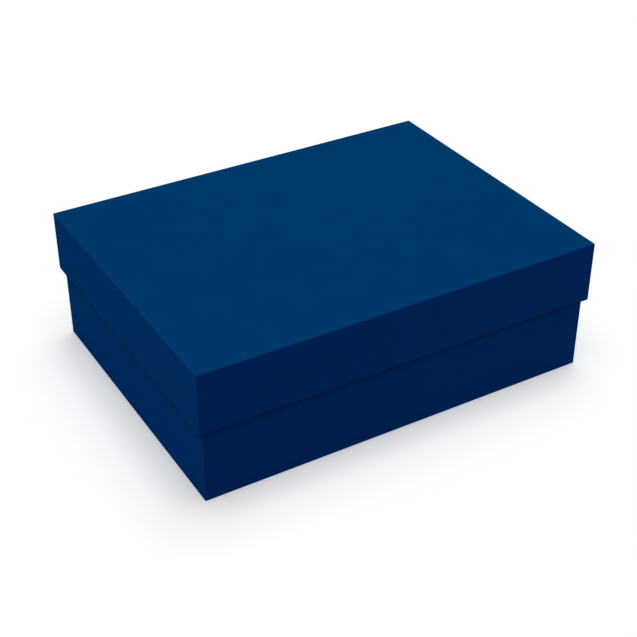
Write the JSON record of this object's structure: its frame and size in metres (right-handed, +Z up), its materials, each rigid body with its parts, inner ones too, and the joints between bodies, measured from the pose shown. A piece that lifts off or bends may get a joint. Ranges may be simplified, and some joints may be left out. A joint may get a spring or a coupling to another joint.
{
  "type": "paper box with lift-off lid",
  "caption": "Rigid paper-covered box with a shallow lift-off lid that overhangs its base on every side, for storing sheets and keepsakes flat.",
  "frame": {"origin": "centre of the footprint, on the surface the box stands on", "axes": "+Z up, the way the lid lifts off; X along the long sides; the front is the long side facing -Y"},
  "size_m": [0.317, 0.239, 0.1049],
  "materials": {
    "covering_paper": "matt deep blue covering paper, dyed through",
    "greyboard": "uncoated grey recycled board",
    "lining_paper": "matt off-white lining paper",
    "corner_tape": "gummed brown kraft tape"
  },
  "bodies": {
    "base": {"base_floor_board": "greyboard", "base_front_wall_board": "greyboard", "base_back_wall_board": "greyboard", "base_left_wall_board": "greyboard", "base_right_wall_board": "greyboard", "base_corner_tape_front_left": "corner_tape", "base_corner_tape_front_right": "corner_tape", "base_corner_tape_back_left": "corner_tape", "base_corner_tape_back_right": "corner_tape", "base_covering": "covering_paper", "base_wall_lining": "lining_paper", "base_floor_lining": "lining_paper"},
    "lid": {"lid_top_board": "greyboard", "lid_front_wall_board": "greyboard", "lid_back_wall_board": "greyboard", "lid_left_wall_board": "greyboard", "lid_right_wall_board": "greyboard", "lid_corner_tape_front_left": "corner_tape", "lid_corner_tape_front_right": "corner_tape", "lid_corner_tape_back_left": "corner_tape", "lid_corner_tape_back_right": "corner_tape", "lid_covering": "covering_paper", "lid_wall_lining": "lining_paper", "lid_top_lining": "lining_paper"}
  },
  "joints": [
    {"name": "lid_lift", "type": "slide", "parent": "base", "child": "lid", "axis": [0, 0, 1], "range_m": [0, 0.15]}
  ]
}
